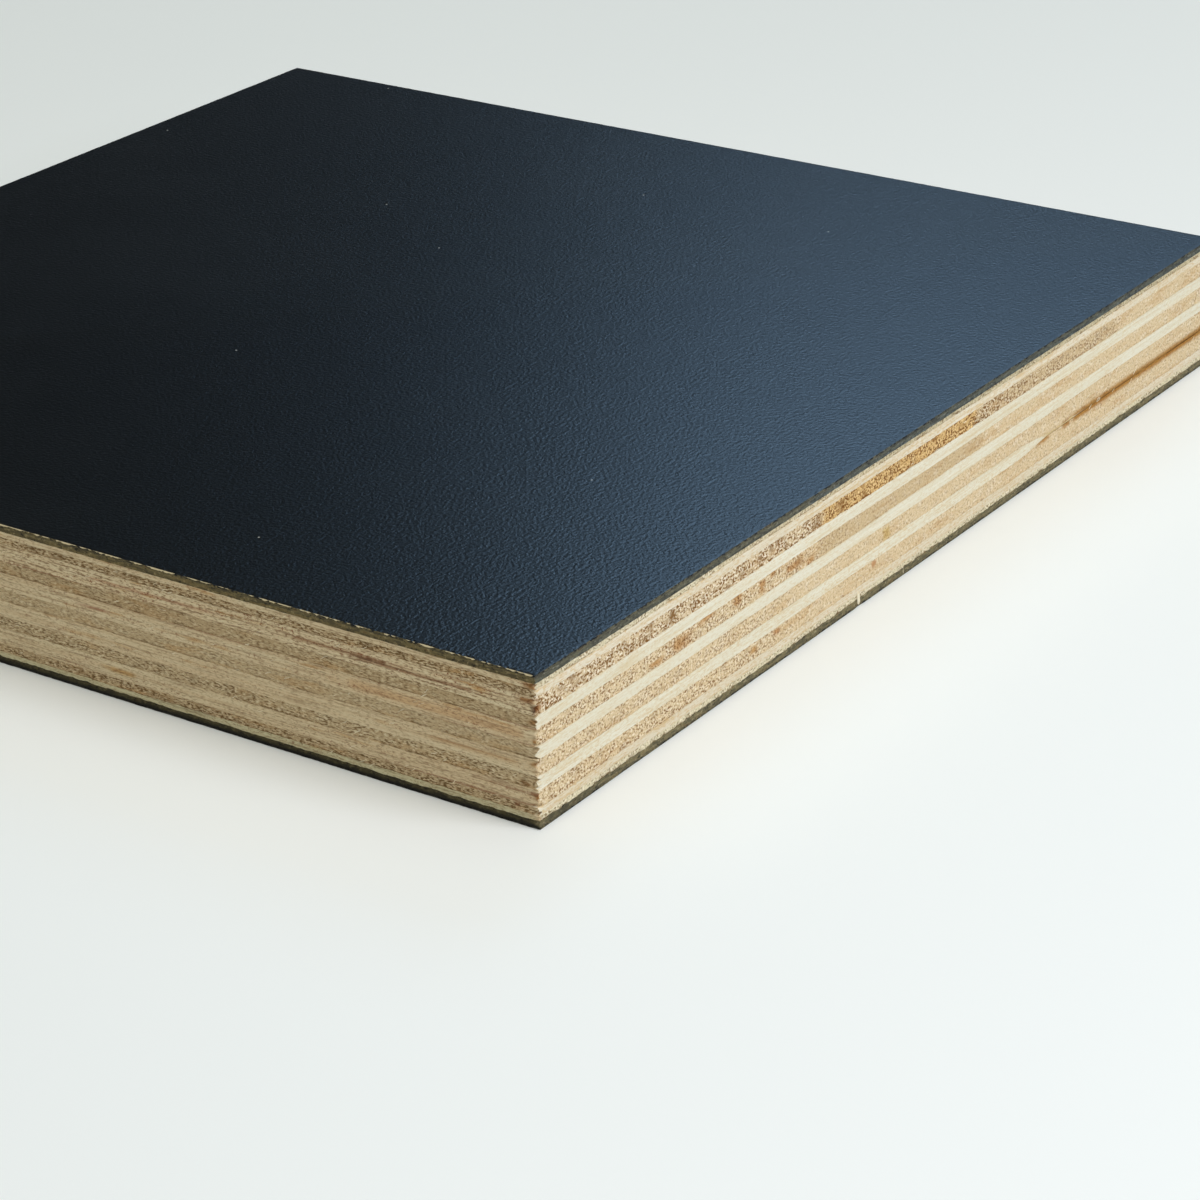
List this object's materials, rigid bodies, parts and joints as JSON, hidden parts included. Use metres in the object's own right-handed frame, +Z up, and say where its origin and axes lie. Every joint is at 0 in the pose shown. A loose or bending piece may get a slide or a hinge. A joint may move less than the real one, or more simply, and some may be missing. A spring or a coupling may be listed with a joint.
{
  "type": "laminate-faced plywood panel",
  "caption": "Square cut panel of cross-laminated plywood with a dark textured laminate pressed on both faces and bare sawn edges.",
  "frame": {"origin": "middle of the panel's underside, on the surface it lies on", "axes": "+Z up through the panel's thickness, X and Y along its edges; the veneers with the thicker core plies have their grain along Y"},
  "size_m": [0.2, 0.2, 0.0228],
  "materials": {
    "laminate": "matte",
    "veneer_grain_x": "matte",
    "veneer_grain_y": "matte"
  },
  "bodies": {
    "root": {"top_laminate": "laminate", "top_face_veneer": "veneer_grain_y", "top_crossband": "veneer_grain_x", "core_veneer_1": "veneer_grain_y", "core_veneer_2": "veneer_grain_x", "core_veneer_3": "veneer_grain_y", "core_veneer_4": "veneer_grain_x", "core_veneer_5": "veneer_grain_y", "core_veneer_6": "veneer_grain_x", "core_veneer_7": "veneer_grain_y", "bottom_crossband": "veneer_grain_x", "bottom_face_veneer": "veneer_grain_y", "bottom_laminate": "laminate"}
  },
  "joints": []
}
